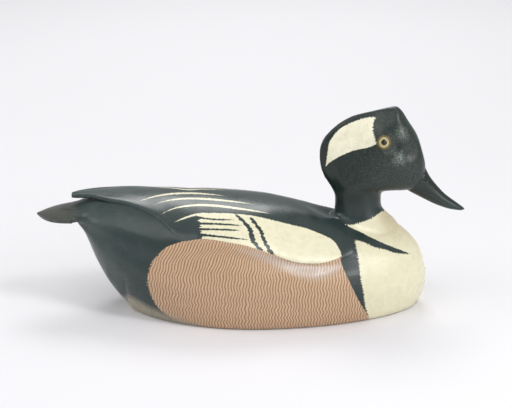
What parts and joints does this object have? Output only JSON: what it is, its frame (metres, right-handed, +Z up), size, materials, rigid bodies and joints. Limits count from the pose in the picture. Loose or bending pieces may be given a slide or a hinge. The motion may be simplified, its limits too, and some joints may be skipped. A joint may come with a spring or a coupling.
{
  "type": "merganser decoy",
  "caption": "Carved and painted wooden merganser drake decoy with a fanned crest, slim drooping bill and glass eyes, standing on its flat underside.",
  "frame": {"origin": "middle of the decoy's length and width, on the plane of its flat underside", "axes": "+X forwards, the way the bill points; +Y to the bird's left; +Z up"},
  "size_m": [0.3607, 0.1436, 0.1712],
  "materials": {
    "body_paint": "satin oil paint: slate black back and rump, cream breast and wing panel, tan flank with fine dark waves",
    "head_paint": "satin oil paint: slate black with a cream crest patch",
    "eye_glass": "polished glass dome over a painted yellow iris and a dark pupil"
  },
  "bodies": {
    "root": {"body": "body_paint", "head": "head_paint", "eye_left": "eye_glass", "eye_right": "eye_glass"}
  },
  "joints": []
}
